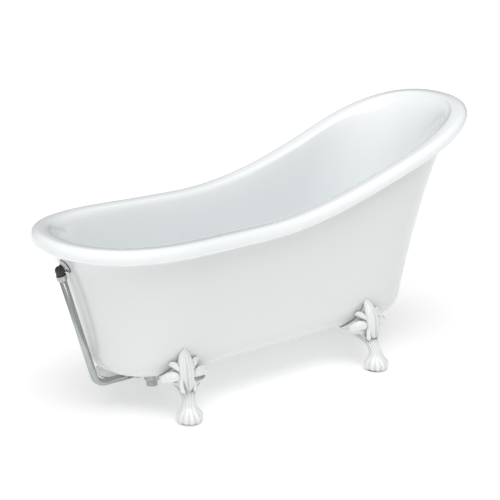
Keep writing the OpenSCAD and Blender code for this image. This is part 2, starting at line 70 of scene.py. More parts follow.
class Slot(Enum):
    """Material slots of the record that new pieces take their finish from."""

    BASIN = "acrylic_inner"
    SHELL = "acrylic_outer"
    FEET = "foot_enamel"
    BOARD = "board"
    BRASS = "brass_insert"
    STEEL = "plain_steel"
    CHROME = "chrome"
    PLASTIC = "black_plastic"
    SPACER = "spacer_plastic"
    RUBBER = "black_rubber"


# ---------------------------------------------------------------- shader maths


class Sock:
    """A number-valued socket whose operators add Math nodes to its tree."""

    def __init__(self, graph: "Graph", socket: bpy.types.NodeSocket) -> None:
        """Keeps the graph and the socket.

        Args:
            graph: the graph that the socket's node belongs to.
            socket: the output socket.
        """
        self.graph = graph
        self.socket = socket

    def _math(self, operation: str, first: object, second: object = None) -> "Sock":
        """Adds one Math node.

        Args:
            operation: the node's operation.
            first: its first value.
            second: its second value, if it takes one.

        Returns:
            The node's result.
        """
        values = {0: first} if second is None else {0: first, 1: second}
        return self.graph.value("ShaderNodeMath", values, operation=operation)

    def __add__(self, other: object) -> "Sock":
        """Sum with a number or another socket."""
        return self._math("ADD", self, other)

    __radd__ = __add__

    def __sub__(self, other: object) -> "Sock":
        """Difference from a number or another socket."""
        return self._math("SUBTRACT", self, other)

    def __rsub__(self, other: object) -> "Sock":
        """Number minus this socket."""
        return self._math("SUBTRACT", other, self)

    def __mul__(self, other: object) -> "Sock":
        """Product with a number or another socket."""
        return self._math("MULTIPLY", self, other)

    __rmul__ = __mul__

    def clamped(self) -> "Sock":
        """This value, kept between 0 and 1."""
        return self._math("MINIMUM", self._math("MAXIMUM", self, 0.0), 1.0)

    def over(self, low: float, high: float) -> "Sock":
        """Share from 0 at low to 1 at high, kept between them."""
        return ((self - low) * (1.0 / (high - low))).clamped()


class Graph:
    """A material's node tree, with a Principled shader at its end."""

    def __init__(self, name: str) -> None:
        """Starts a material.

        Args:
            name: the material's name.
        """
        self.material = bpy.data.materials.new(name)
        self.material.use_nodes = True
        self.tree = self.material.node_tree
        self.shader = self.tree.nodes["Principled BSDF"]

    def node(
        self, kind: str, sockets: dict[object, object] | None = None, **settings: object
    ) -> bpy.types.Node:
        """Adds a node, sets it up and fills its sockets.

        Args:
            kind: the node's type.
            sockets: values, sockets or Sock wrappers by socket name or number.
            **settings: the node's own properties, which are set first.

        Returns:
            The node.
        """
        made = self.tree.nodes.new(kind)
        stops = settings.pop("stops", None)
        for key, value in settings.items():
            setattr(made, key, value)
        if stops:
            ramp = made.color_ramp
            while len(ramp.elements) < len(stops):
                ramp.elements.new(0.5)
            for element, (place, colour) in zip(ramp.elements, stops):
                element.position = place
                element.color = colour
        for key, value in (sockets or {}).items():
            self.feed(made.inputs[key], value)
        return made

    def feed(self, target: bpy.types.NodeSocket, value: object) -> None:
        """Links or sets one input socket.

        Args:
            target: the input socket.
            value: a Sock, an output socket, or a plain value.
        """
        if isinstance(value, Sock):
            self.tree.links.new(value.socket, target)
        elif isinstance(value, bpy.types.NodeSocket):
            self.tree.links.new(value, target)
        else:
            target.default_value = value

    def value(
        self, kind: str, sockets: dict[object, object], out: object = 0, **settings: object
    ) -> Sock:
        """Adds a node and wraps one of its outputs as a number."""
        return Sock(self, self.node(kind, sockets, **settings).outputs[out])

    def place(self) -> bpy.types.NodeSocket:
        """Object coordinates, in metres."""
        return self.node("ShaderNodeTexCoord").outputs["Object"]

    def noise(self, scale: float, detail: float = 2.0, stretch: Sequence[float] = (1, 1, 1)) -> Sock:
        """Noise over the object's coordinates.

        Args:
            scale: noise cells in a metre.
            detail: octaves.
            stretch: scale of the pattern along each axis.

        Returns:
            The noise's value, about 0.5 on average.
        """
        mapped = self.node("ShaderNodeMapping", {"Vector": self.place(), "Scale": tuple(stretch)})
        sockets = {"Vector": mapped.outputs["Vector"], "Scale": scale, "Detail": detail}
        return self.value("ShaderNodeTexNoise", sockets, "Fac")

    def blend(self, share: Sock, first: Sequence[float], second: Sequence[float]) -> bpy.types.NodeSocket:
        """Colour that runs from one to another.

        Args:
            share: 0 for the first colour and 1 for the second.
            first: colour at 0.
            second: colour at 1.

        Returns:
            The mixed colour.
        """
        mixed = self.node(
            "ShaderNodeMix", {0: share, 6: (*first, 1.0), 7: (*second, 1.0)}, data_type="RGBA"
        )
        return mixed.outputs[2]

    def bump(self, height: Sock, strength: float, distance: float) -> bpy.types.NodeSocket:
        """Normal bent by a height.

        Args:
            height: the height's pattern.
            strength: the node's strength.
            distance: the height of 1, in metres.

        Returns:
            The normal.
        """
        sockets = {"Height": height, "Strength": strength, "Distance": distance}
        return self.node("ShaderNodeBump", sockets).outputs["Normal"]

    def finish(self, **sockets: object) -> bpy.types.Material:
        """Fills the shader's sockets, whose names are written with underscores.

        Args:
            **sockets: values or links by socket name.

        Returns:
            The finished material.
        """
        for key, value in sockets.items():
            self.feed(self.shader.inputs[key.replace("_", " ")], value)
        return self.material


# ---------------------------------------------------------------- finishes


@dataclass(frozen=True)
class Gloss:
    """A white gloss surface: moulded acrylic or stoved paint, with faint orange peel and dust; when set up
    for it, painted shade darkens its hollows instead of the dust.
    """

    name: str
    colour: tuple[float, float, float]
    # Second colour: a faint random tone, which becomes painted shade in the hollows when recess shading is
    # on.
    shaded: tuple[float, float, float]
    roughness: float = 0.16
    peel: float = 0.00012
    peel_scale: float = 55.0
    coat: float = 0.35
    # Swaps the random tone for painted shade in the hollows and creases.
    paint_recess_shade: bool = False

    def material(self) -> bpy.types.Material:
        """Builds the material."""
        g = Graph(self.name)
        cloud = g.noise(2.2, 3.0)
        share = cloud.over(0.35, 0.7)
        # Painted shade: ambient occlusion darkens hollows and creases towards the second colour.
        if self.paint_recess_shade:
            crease_shade = g.value("ShaderNodeAmbientOcclusion", {"Distance": 0.012}, "AO", samples=8)
            share = (1.0 - crease_shade).over(0.04, 0.70)
        peel = g.noise(self.peel_scale, 3.0)
        smear = g.noise(9.0, 4.0, (1.0, 1.0, 0.35))
        return g.finish(
            Base_Color=g.blend(share, self.colour, self.shaded),
            Roughness=smear.over(0.3, 0.75) * 0.07 + self.roughness,
            Normal=g.bump(peel, 0.25, self.peel),
            IOR=1.49,
            Coat_Weight=self.coat,
            Coat_Roughness=0.06,
        )


@dataclass(frozen=True)
class Metal:
    """A bare or plated metal with fine wipe marks."""

    name: str
    colour: tuple[float, float, float]
    dulled: tuple[float, float, float]
    roughness: float = 0.12
    spread: float = 0.10
    marks: float = 0.00002

    def material(self) -> bpy.types.Material:
        """Builds the material."""
        g = Graph(self.name)
        wipe = g.noise(38.0, 5.0, (1.0, 1.0, 0.25))
        spots = g.noise(160.0, 2.0)
        return g.finish(
            Base_Color=g.blend(wipe.over(0.3, 0.75), self.colour, self.dulled),
            Metallic=1.0,
            Roughness=wipe.over(0.35, 0.8) * self.spread + self.roughness,
            Normal=g.bump(spots, 0.2, self.marks),
        )


@dataclass(frozen=True)
class Matt:
    """Rubber, moulded plastic or raw board: a dull surface with a fine grain."""

    name: str
    colour: tuple[float, float, float]
    worn: tuple[float, float, float]
    roughness: float = 0.55
    grain: float = 320.0
    depth: float = 0.0001

    def material(self) -> bpy.types.Material:
        """Builds the material."""
        g = Graph(self.name)
        fine = g.noise(self.grain, 3.0)
        broad = g.noise(self.grain / 12.0, 4.0)
        return g.finish(
            Base_Color=g.blend(broad.over(0.35, 0.7), self.colour, self.worn),
            Roughness=fine * 0.2 + self.roughness,
            Normal=g.bump(fine, 0.35, self.depth),
        )


FINISHES: dict[Slot, Gloss | Metal | Matt] = {
    Slot.BASIN: Gloss("white_acrylic_basin", (0.835, 0.86, 0.868), (0.815, 0.845, 0.857), 0.13),
    Slot.SHELL: Gloss("white_acrylic_skin", (0.73, 0.75, 0.745), (0.71, 0.735, 0.73), 0.17),
    # The feet's second colour is painted shade, laid into the carving's hollows by ambient occlusion.
    Slot.FEET: Gloss(
        "white_foot_paint", (0.755, 0.77, 0.765), (0.27, 0.29, 0.29), 0.28, 0.0002, 110.0, 0.3, True
    ),
    Slot.CHROME: Metal("polished_chrome", (0.46, 0.485, 0.485), (0.39, 0.41, 0.41), 0.20),
    Slot.STEEL: Metal("zinc_plate", (0.62, 0.64, 0.66), (0.48, 0.50, 0.52), 0.28, 0.15),
    Slot.BRASS: Metal("turned_brass", (0.80, 0.62, 0.30), (0.62, 0.46, 0.22), 0.25, 0.12),
    Slot.RUBBER: Matt("black_rubber", (0.018, 0.018, 0.018), (0.035, 0.035, 0.036), 0.55),
    Slot.PLASTIC: Matt("black_moulding", (0.014, 0.014, 0.015), (0.03, 0.03, 0.03), 0.32),
    Slot.SPACER: Matt("pale_moulding", (0.72, 0.72, 0.70), (0.62, 0.62, 0.60), 0.45),
    Slot.BOARD: Matt("chip_board", (0.62, 0.47, 0.29), (0.42, 0.30, 0.17), 0.6, 260.0, 0.0004),
}


# ---------------------------------------------------------------- mesh helpers


def clamp(x: float, low: float = 0.0, high: float = 1.0) -> float:
    """x, kept between low and high."""
    return max(low, min(high, x))


def smooth(x: float, low: float, high: float) -> float:
    """Eased step from 0 at low to 1 at high."""
    t = clamp((x - low) / (high - low))
    return t * t * (3.0 - 2.0 * t)


def bell(x: float, middle: float, width: float) -> float:
    """Bell curve of height 1 round a middle."""
    return math.exp(-(((x - middle) / width) ** 2))


def along(stops: Sequence[tuple[float, ...]], t: float) -> list[float]:
    """Smooth reading between stops.

    Args:
        stops: rows whose first number is the place and the rest are values there.
        t: the place to read.

    Returns:
        The values at t.
    """
    if t <= stops[0][0]:
        return list(stops[0][1:])
    if t >= stops[-1][0]:
        return list(stops[-1][1:])
    i = next(k for k in range(1, len(stops)) if t <= stops[k][0])
    rows = [stops[max(0, i - 2)], stops[i - 1], stops[i], stops[min(len(stops) - 1, i + 1)]]
    a, b = rows[1][0], rows[2][0]
    u = (t - a) / (b - a)
    found = []
    for k in range(1, len(stops[0])):
        p0, p1, p2, p3 = (r[k] for r in rows)
        lead = (p2 - p0) * (b - a) / max(rows[2][0] - rows[0][0], 1e-9)
        trail = (p3 - p1) * (b - a) / max(rows[3][0] - rows[1][0], 1e-9)
        found.append(
            (2 * u**3 - 3 * u**2 + 1) * p1
            + (u**3 - 2 * u**2 + u) * lead
            + (-2 * u**3 + 3 * u**2) * p2
            + (u**3 - u**2) * trail
        )
    return found


def grow(bm: bmesh.types.BMesh, loop: list[bmesh.types.BMVert], ring: Ring) -> list[bmesh.types.BMVert]:
    """Extrudes a closed loop of corners onto the next ring, point to point.

    Args:
        bm: the mesh being built.
        loop: the corners of the last ring, in order.
        ring: where the new corners go, in the same order.

    Returns:
        The new corners, in order.
    """
    edges = [bm.edges.get((loop[i - 1], loop[i])) for i in range(len(loop))]
    made = bmesh.ops.extrude_edge_only(bm, edges=edges)["geom"]
    fresh = {v for v in made if isinstance(v, bmesh.types.BMVert)}
    grown = []
    for corner, place in zip(loop, ring):
        ends = (edge.other_vert(corner) for edge in corner.link_edges)
        grown.append(next(end for end in ends if end in fresh))
        grown[-1].co = place
    return grown


def loft(bm: bmesh.types.BMesh, rings: Sequence[Ring], closed: bool = False) -> None:
    """Joins a run of rings into a skin, and caps or joins its ends.

    Args:
        bm: the mesh being built.
        rings: loops of equally many points.
        closed: joins the last ring to the first in place of capping both.
    """
    first = [bm.verts.new(p) for p in rings[0]]
    for i in range(len(first)):
        bm.edges.new((first[i - 1], first[i]))
    loop = first
    for ring in rings[1:]:
        loop = grow(bm, loop, ring)
    if closed:
        grow(bm, loop, rings[0])
        return
    for end in (first, loop):
        edges = [bm.edges.get((end[i - 1], end[i])) for i in range(len(end))]
        cap = bmesh.ops.edgeloop_fill(bm, edges=edges)["faces"]
        bmesh.ops.poke(bm, faces=cap)


def make_piece(
    name: str, build: Callable[[bmesh.types.BMesh], None], slot: Slot, nodes: Sequence[str], body: str = TUB
) -> bpy.types.Object:
    """Turns a build function into a dressed piece that rides on a body.

    Args:
        name: the piece's name.
        build: adds the piece's geometry to an empty bmesh.
        slot: the record's material slot.
        nodes: CAD nodes that the piece stands for.
        body: the CAD body that carries it.

    Returns:
        The piece.
    """
    bm = bmesh.new()
    build(bm)
    bmesh.ops.remove_doubles(bm, verts=bm.verts, dist=1e-6)
    bmesh.ops.recalc_face_normals(bm, faces=bm.faces)
    for face in bm.faces:
        face.smooth = True
    mesh = bpy.data.meshes.new(name)
    bm.to_mesh(mesh)
    bm.free()
    piece = bpy.data.objects.new(name, mesh)
    bpy.context.scene.collection.objects.link(piece)
    mesh.materials.append(FINISHES[slot].material())
    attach(piece, body)
    if nodes:
        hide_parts(*nodes)
    log.info("%s: %d faces", name, len(mesh.polygons))
    return piece


# ---------------------------------------------------------------- the bath's form


@dataclass(frozen=True)
class BathForm:
    """The bath's outline, rim and walls, in metres."""

    length: float = 1.700
    width: float = 0.652
    rim_low: float = 0.612
    rim_rise: float = 0.303
    rim_w: float = 0.061
    lip_h: float = 0.048
    waist: float = 0.136
    base_l: float = 1.266
    base_w: float = 0.474
    base_x: float = -0.052
    bottom_z: float = 0.139
    curve_h: float = 0.093
    curve_w: float = 0.062
    gap: float = 0.034
    end_foot: float = 0.422
    end_head: float = 0.396
    oval_power: float = 2.2
    straight: float = 0.35
    taper: float = -0.013
    rise_start: float = -0.183
    rise_l: float = 1.329
    foot_lift: float = 0.016
    lift_start: float = -0.2
    lift_l: float = 0.65
    crest_at: float = 0.4
    inner_drop: float = 0.008
    shell_inset: float = 0.032
    wall_bow: float = 0.6

    @property
    def floor_z(self) -> float:
        """Height of the bath's floor."""
        return self.bottom_z + 0.0315

    def oval(self, t: float, half_l: float, half_w: float) -> Vector:
        """Point of an oval with drawn-in sides.

        Args:
            t: angle, in radians.
            half_l: half the oval's length.
            half_w: half the width of its ends.

        Returns:
            The point, at height 0.
        """
        c = math.cos(t)
        q = min(abs(c), 1.0)
        end = (self.end_foot if c < 0 else self.end_head) * half_l / (self.length / 2)
        if q < self.straight:
            x, y = (half_l - end) * q / self.straight, 1.0
        else:
            start = math.asin(self.straight)
            turned = math.pi / 2 * (math.asin(q) - start) / (math.pi / 2 - start)
            x = half_l - end + end * math.sin(turned) ** (2 / self.oval_power)
            y = max(math.cos(turned), 0.0) ** (2 / self.oval_power)
        share = math.copysign(x / half_l, c)
        wide = half_w * y * (1 - self.waist * (1 - share * share)) * (1 + self.taper * share)
        return Vector((share * half_l, math.copysign(wide, math.sin(t)), 0.0))

    def outward(self, t: float, half_l: float, half_w: float) -> Vector:
        """Outward direction of that oval."""
        step = 0.012
        d = self.oval(t + step, half_l, half_w) - self.oval(t - step, half_l, half_w)
        return Vector((d.y, -d.x, 0.0)).normalized()

    def rim_height(self, x: float) -> float:
        """Height of the rim's crest at x."""
        u = clamp((x - self.rise_start) / self.rise_l)
        v = max(self.lift_start - x, 0.0) / self.lift_l
        return self.rim_low + self.rim_rise * (1 - math.cos(math.pi * u)) / 2 + self.foot_lift * v * v

    def rim(self, t: float, inset: float, drop: float) -> Vector:
        """Point inset from the lip and dropped from the crest."""
        half_l, half_w = self.length / 2, self.width / 2
        p = self.oval(t, half_l, half_w)
        q = p - self.outward(t, half_l, half_w) * inset
        return Vector((q.x, q.y, self.rim_height(p.x) - drop))

    def wall(self, top: Vector, foot: Vector, s: float) -> Vector:
        """Point a share s of the way down from top to foot, on the hollowed wall."""
        k = s**self.wall_bow
        x, y = top.x + (foot.x - top.x) * k, top.y + (foot.y - top.y) * k
        return Vector((x, y, top.z + (foot.z - top.z) * s))

    def skin(self, t: float, g: float, inward: float = 0.0) -> Vector:
        """Outer skin, numbered 0 to 1 down the wall and 1 to 2 round the bottom curve.

        Args:
            t: angle round the bath.
            g: place down the skin.
            inward: depth under its face.

        Returns:
            The point.
        """
        half_l, half_w = self.base_l / 2, self.base_w / 2
        n = self.outward(t, half_l, half_w)
        b = self.oval(t, half_l, half_w) + Vector((self.base_x, 0, 0))
        if g <= 1:
            foot = b - n * inward
            foot.z = self.bottom_z + self.curve_h
            return self.wall(self.rim(t, self.shell_inset + inward, self.lip_h), foot, g)
        a = math.pi / 2 * (g - 1)
        p = b - n * (self.curve_w * (1 - math.cos(a)) + inward * math.cos(a))
        p.z = self.bottom_z + self.curve_h * (1 - math.sin(a)) + inward * math.sin(a)
        return p

    def inner(self, t: float, g: float, outward: float = 0.0) -> Vector:
        """Basin's face, numbered like the skin; outward gives its back."""
        half_l, half_w = self.base_l / 2 - self.gap, self.base_w / 2 - self.gap
        n = self.outward(t, half_l, half_w)
        b = self.oval(t, half_l, half_w) + Vector((self.base_x, 0, 0))
        if g <= 1:
            foot = b + n * outward
            foot.z = self.floor_z + self.curve_h
            return self.wall(self.rim(t, self.rim_w - outward, self.inner_drop + outward), foot, g)
        a = math.pi / 2 * (g - 1)
        p = b - n * (self.curve_w * (1 - math.cos(a)) - outward * math.cos(a))
        p.z = self.floor_z + self.curve_h * (1 - math.sin(a)) - outward * math.sin(a)
        return p


FORM = BathForm()
DRAIN = Vector((-0.460, 0.0, 0.0))


@dataclass(frozen=True)
class Skins:
    """The basin with its rolled rim, and the outer skin under it."""

    form: BathForm = FORM
    sides: int = 240
    basin_t: float = 0.007
    skin_t: float = 0.005
    drain_r: float = 0.026
    service_r: float = 0.046
    wall_rings: int = 26
    curve_rings: int = 14
    floor_shares: tuple[float, ...] = (0.93, 0.84, 0.72, 0.58, 0.42)
    lip_curl: tuple[tuple[float, float], ...] = (
        (0.0002, 0.58),
        (0.0009, 0.67),
        (0.0022, 0.76),
        (0.0042, 0.845),
        (0.0068, 0.915),
        (0.0100, 0.965),
        (0.0135, 0.993),
        (0.0160, 1.0),
        (0.0172, 0.985),
        (0.0168, 0.955),
        (0.0140, 0.905),
        (0.0110, 0.83),
        (0.0090, 0.73),
        (0.0078, 0.60),
        (0.0080, 0.45),
        (0.0110, 0.32),
        (0.0170, 0.22),
        (0.0300, 0.15),
    )

    def ring(self, point: Callable[[float], Vector]) -> Ring:
        """Points at even angles round the bath."""
        return [point(i * math.tau / self.sides) for i in range(self.sides)]

    def hole(self, radius: float, z: float) -> Ring:
        """Ring round the waste, whose points face the same way as the bath's.

        Args:
            radius: the hole's radius.
            z: its height.

        Returns:
            The ring.
        """
        found = []
        for i in range(self.sides):
            t = i * math.tau / self.sides
            edge = self.form.inner(t, 2.0)
            d = Vector((edge.x - DRAIN.x, edge.y, 0)).normalized()
            found.append(Vector((DRAIN.x + d.x * radius, d.y * radius, z)))
        return found

    def floor(self, face: Callable[[float], Vector], radius: float, z: float) -> list[Ring]:
        """Rings over the flat bottom, from its edge to the hole round the waste."""
        edge, hole = self.ring(face), self.hole(radius, z)
        rings = [[h.lerp(e, k) for e, h in zip(edge, hole)] for k in self.floor_shares]
        return [*rings, [h.lerp(e, 0.2) for e, h in zip(edge, hole)], hole]

    def levels(self) -> list[float]:
        """Places down a skin, from the rim to the edge of the flat bottom."""
        wall = [(i / self.wall_rings) ** 1.35 for i in range(1, self.wall_rings + 1)]
        return wall + [1 + i / self.curve_rings for i in range(1, self.curve_rings + 1)]

    def build_basin(self, bm: bmesh.types.BMesh) -> None:
        """Adds the basin and its hollow rim."""
        f, t_ = self.form, self.basin_t
        crest = f.crest_at * f.rim_w
        section: list[tuple[float, float]] = []
        for i in range(8):
            a = math.pi / 2 * i / 8
            section.append((crest + (f.rim_w - crest) * math.cos(a), f.inner_drop * (1 - math.sin(a))))
        for i in range(13):
            a = math.pi / 2 * (1 - i / 12)
            section.append((crest * (1 - math.cos(a)), f.lip_h / 2 * (1 - math.sin(a))))
        section += [(inset, f.lip_h * share) for inset, share in self.lip_curl]
        inside = [self.ring(lambda t, g=g: f.inner(t, g)) for g in self.levels()]
        outside = [self.ring(lambda t, g=g: f.inner(t, g, t_)) for g in [0.0, *self.levels()]]
        top = self.floor(lambda t: f.inner(t, 2.0), self.drain_r, f.floor_z)
        under = self.floor(lambda t: f.inner(t, 2.0, t_), self.drain_r, f.floor_z - t_)
        rim = [self.ring(lambda t, i=i, d=d: f.rim(t, i, d)) for i, d in section]
        rings = top[::-1] + inside[::-1] + rim + outside + under
        loft(bm, rings, closed=True)

    def build_shell(self, bm: bmesh.types.BMesh) -> None:
        """Adds the outer skin."""
        f, t_ = self.form, self.skin_t
        reach = f.lip_h - 0.034
        face = [self.ring(lambda t, g=g: f.skin(t, g)) for g in [0.0, *self.levels()]]
        back = [self.ring(lambda t, g=g: f.skin(t, g, t_)) for g in [0.0, *self.levels()]]
        low = self.floor(lambda t: f.skin(t, 2.0), self.service_r, f.bottom_z)
        high = self.floor(lambda t: f.skin(t, 2.0, t_), self.service_r, f.bottom_z + t_)
        edge = [self.ring(lambda t, i=i: f.rim(t, i, reach)) for i in (f.shell_inset + t_, f.shell_inset)]
        loft(bm, high[::-1] + back[::-1] + edge + face + low, closed=True)

    def make(self) -> None:
        """Makes both skins."""
        make_piece("basin_visual", self.build_basin, Slot.BASIN, ["basin"])
        make_piece("outer_shell_visual", self.build_shell, Slot.SHELL, ["outer_shell"])


# ---------------------------------------------------------------- feet


@dataclass(frozen=True)
class ClawFoot:
    """One cast claw foot: toed paw, fluted shank, and a leaf with two side scrolls."""

    node: str
    x: float
    y: float
    turn: float
    left: bool
    middle: float
    sway: float = 0.0
    form: BathForm = FORM
    points: int = 156
    leg_rings: int = 74
    knee_rings: int = 64
    leaf_points: int = 80
    leaf_rings: int = 60
    tube_points: int = 36
    tube_rings: int = 34
    lean_start: float = 0.060
    lean_h: float = 0.060
    toe_lobes: float = 6.0
    toe_depth: float = 0.16
    toe_tip: float = 0.030
    flute_count: int = 12
    flute_depth: float = 0.075
    clearance: float = 0.0010
    sway_low: float = 0.09
    sway_high: float = 0.16
    leg: tuple[tuple[float, ...], ...] = (
        (0.003, 0.034, -0.040, 0.036, 0.0),
        (0.009, 0.042, -0.046, 0.038, 0.0),
        (0.022, 0.045, -0.048, 0.038, 0.0),
        (0.034, 0.041, -0.041, 0.034, 0.0),
        (0.046, 0.031, -0.028, 0.028, 0.0),
        (0.058, 0.0245, -0.018, 0.026, 0.0),
        (0.074, 0.0215, -0.014, 0.024, 0.002),
        (0.090, 0.0235, -0.018, 0.026, 0.004),
        (0.102, 0.030, -0.022, 0.034, 0.012),
        (0.112, 0.042, -0.025, 0.044, 0.022),
        (0.121, 0.057, -0.027, 0.052, 0.036),
        (0.130, 0.073, -0.028, 0.056, 0.048),
    )
    knee: tuple[tuple[float, ...], ...] = (
        (0.0, 1.92, 0.081, 0.083),
        (0.10, 1.84, 0.083, 0.081),
        (0.28, 1.66, 0.073, 0.072),
        (0.50, 1.44, 0.043, 0.057),
        (0.72, 1.22, 0.024, 0.039),
        (0.88, 1.08, 0.014, 0.021),
        (1.0, 1.0, 0.005, 0.006),
    )
    leaf: tuple[tuple[float, ...], ...] = (
        (0.00, 0.250, 0.003, 0.001, 0.0025),
        (0.07, 0.240, 0.010, 0.008, 0.006),
        (0.18, 0.224, 0.0185, 0.026, 0.009),
        (0.34, 0.200, 0.0255, 0.043, 0.011),
        (0.52, 0.173, 0.0275, 0.051, 0.012),
        (0.68, 0.152, 0.0265, 0.052, 0.012),
        (0.82, 0.134, 0.0225, 0.050, 0.011),
        (0.93, 0.120, 0.0165, 0.050, 0.009),
        (1.00, 0.112, 0.0080, 0.050, 0.004),
    )
    lobe: tuple[tuple[float, ...], ...] = (
        (0.00, 0.0130, 0.172, 0.044, 0.0050),
        (0.35, 0.0185, 0.146, 0.045, 0.0080),
        (0.65, 0.0205, 0.128, 0.045, 0.0078),
        (0.85, 0.0200, 0.115, 0.046, 0.0080),
        (0.95, 0.0190, 0.109, 0.048, 0.0060),
        (1.00, 0.0185, 0.106, 0.049, 0.0020),
    )
    roll: tuple[tuple[float, ...], ...] = (
        (0.00, 0.0180, 0.160, 0.034, 0.0120),
        (0.30, 0.0380, 0.162, 0.031, 0.0165),
        (0.60, 0.0570, 0.159, 0.024, 0.0165),
        (0.82, 0.0710, 0.153, 0.018, 0.0140),
        (0.94, 0.0790, 0.149, 0.015, 0.0100),
        (1.00, 0.0830, 0.146, 0.014, 0.0030),
    )
    frond: tuple[tuple[float, ...], ...] = (
        (0.00, 0.0150, 0.176, 0.034, 0.0090),
        (0.35, 0.0280, 0.190, 0.026, 0.0110),
        (0.70, 0.0400, 0.198, 0.015, 0.0095),
        (0.92, 0.0490, 0.197, 0.010, 0.0065),
        (1.00, 0.0530, 0.195, 0.009, 0.0015),
    )

    def local(self, p: Vector) -> Vector:
        """A point of the frame in the foot's own axes, with +Y into the bath."""
        c, s = math.cos(self.turn), math.sin(self.turn)
        qx, qy = p.x - self.x, p.y + self.y
        return Vector((c * qx - s * qy, s * qx + c * qy, p.z))

    def skin_angle(self, u: float) -> float:
        """Angle of the oval whose point lies u to the side of the foot."""
        low, high = self.middle - 0.6, self.middle + 0.6
        half_l, half_w = self.form.base_l / 2, self.form.base_w / 2
        for _ in range(26):
            t = (low + high) / 2
            p = self.form.oval(t, half_l, half_w) + Vector((self.form.base_x, 0, 0))
            if self.local(p).x < u:
                low = t
            else:
                high = t
        return (low + high) / 2

    def wall_y(self) -> float:
        """How far in the bath's base lies, on the foot's middle line."""
        return self.local(self.form.skin(self.skin_angle(0.0), 1.0)).y

    def leg_ring(self, z: float, wall: float) -> Ring:
        """Ring of the paw or shank.

        Args:
            z: height.
            wall: how far in the bath's base lies.

        Returns:
            The ring, from +X round by the inner side.
        """
        half, outer, inner, sides = along(self.leg, z)
        drift = wall * clamp((z - self.lean_start) / self.lean_h) ** 1.5
        toes = smooth(z, 0.064, 0.030)
        flutes = smooth(z, 0.044, 0.066) * smooth(z, 0.134, 0.104)
        ring = []
        for i in range(self.points):
            a = i * math.tau / self.points
            front = clamp(-math.sin(a) * 1.6 + 0.6)
            across = math.cos(a)
            rounding = abs(math.cos(math.asin(clamp(across, -1.0, 1.0)) * self.toe_lobes)) ** 0.5
            cut = self.toe_depth * toes * front * (rounding - 1.0)
            cut += self.flute_depth * flutes * math.cos(self.flute_count * a)
            tip = self.toe_tip * toes * front * bell(z, 0.018, 0.012)
            end = outer if math.sin(a) < 0 else inner
            swell = 1.0 + cut + tip - 0.012
            reach = sides + (end - sides) * abs(math.sin(a)) * swell
            ring.append(Vector((half * across * swell, reach + drift, z)))
        return ring

    def knee_ring(self, s: float) -> Ring:
        """Ring of the knee, whose back lies on the bath.

        Args:
            s: 0 at the shank and 1 at the knee's top.

        Returns:
            The ring.
        """
        level, half, thick = along(self.knee, s)
        ring = []
        for i in range(self.points):
            a = i * math.tau / self.points
            u = half * math.cos(a) + self.sway * smooth(s, -0.2, 0.5)
            p = self.local(self.form.skin(self.skin_angle(u), level))
            if i > self.points // 2:
                hollow = 1.0 - 0.30 * bell(s, 0.17, 0.07) * smooth(abs(u), 0.026, 0.045)
                p.y -= 0.002 + thick * abs(math.sin(a)) ** 1.4 * hollow
            ring.append(p + Vector((0, -self.clearance, -self.clearance / 2)))
        return ring

    def shift(self, z: float) -> float:
        """How far the carving at a height stands to the side of the middle line."""
        return self.sway * smooth(z, self.sway_low, self.sway_high)

    def add_leaf(self, bm: bmesh.types.BMesh, wall: float) -> None:
        """Adds the fluted leaf over the knee.

        Args:
            bm: the foot's mesh.
            wall: how far in the bath's base lies.
        """
        rings = []
        for i in range(self.leaf_rings):
            t = i / (self.leaf_rings - 1)
            z, half, out, thick = along(self.leaf, t)
            ring = []
            for k in range(self.leaf_points):
                a = k * math.tau / self.leaf_points
                across = math.cos(a)
                front = math.sin(a) < 0
                veins = 1.0 + 0.26 * math.cos(across * 12.0 + math.pi) * (1.0 - 0.5 * abs(across))
                depth = thick * (veins if front else 1.0) * math.sin(a)
                bow = 0.010 * across * across
                face = wall - out + bow + depth + thick * 0.4
                ring.append(Vector((half * across + self.shift(z), face, z)))
            rings.append(ring)
        loft(bm, rings)

    def add_tube(
        self, bm: bmesh.types.BMesh, wall: float, stops: Sequence[Sequence[float]], side: int, ribs: float
    ) -> None:
        """Adds one rounded frond of the carving, on one side of the knee.

        Args:
            bm: the foot's mesh.
            wall: how far in the bath's base lies.
            stops: rows of place along it, sideways distance, height, distance out, and radius.
            side: -1 or 1.
            ribs: depth of the ribs along it, as a share of the radius.
        """
        rings = []
        for i in range(self.tube_rings):
            t = i / (self.tube_rings - 1)
            u, z, out, r = along(stops, t)
            u2, z2, out2, _ = along(stops, min(t + 0.02, 1.0))
            u1, z1, out1, _ = along(stops, max(t - 0.02, 0.0))
            way = Vector((side * (u2 - u1), out1 - out2, z2 - z1)).normalized()
            across = way.cross(Vector((0, -1, 0))).normalized()
            up = across.cross(way)
            middle = Vector((side * u + self.shift(z), wall - out, z))
            middle.y += self.local(self.form.skin(self.skin_angle(side * u), 1.2)).y - wall
            ring = []
            for k in range(self.tube_points):
                a = k * math.tau / self.tube_points
                reach = r * (1.0 + ribs * math.cos(6 * a) + 0.5 * ribs * math.cos(t * 30.0))
                ring.append(middle + across * reach * math.cos(a) + up * reach * math.sin(a))
            rings.append(ring)
        loft(bm, rings)

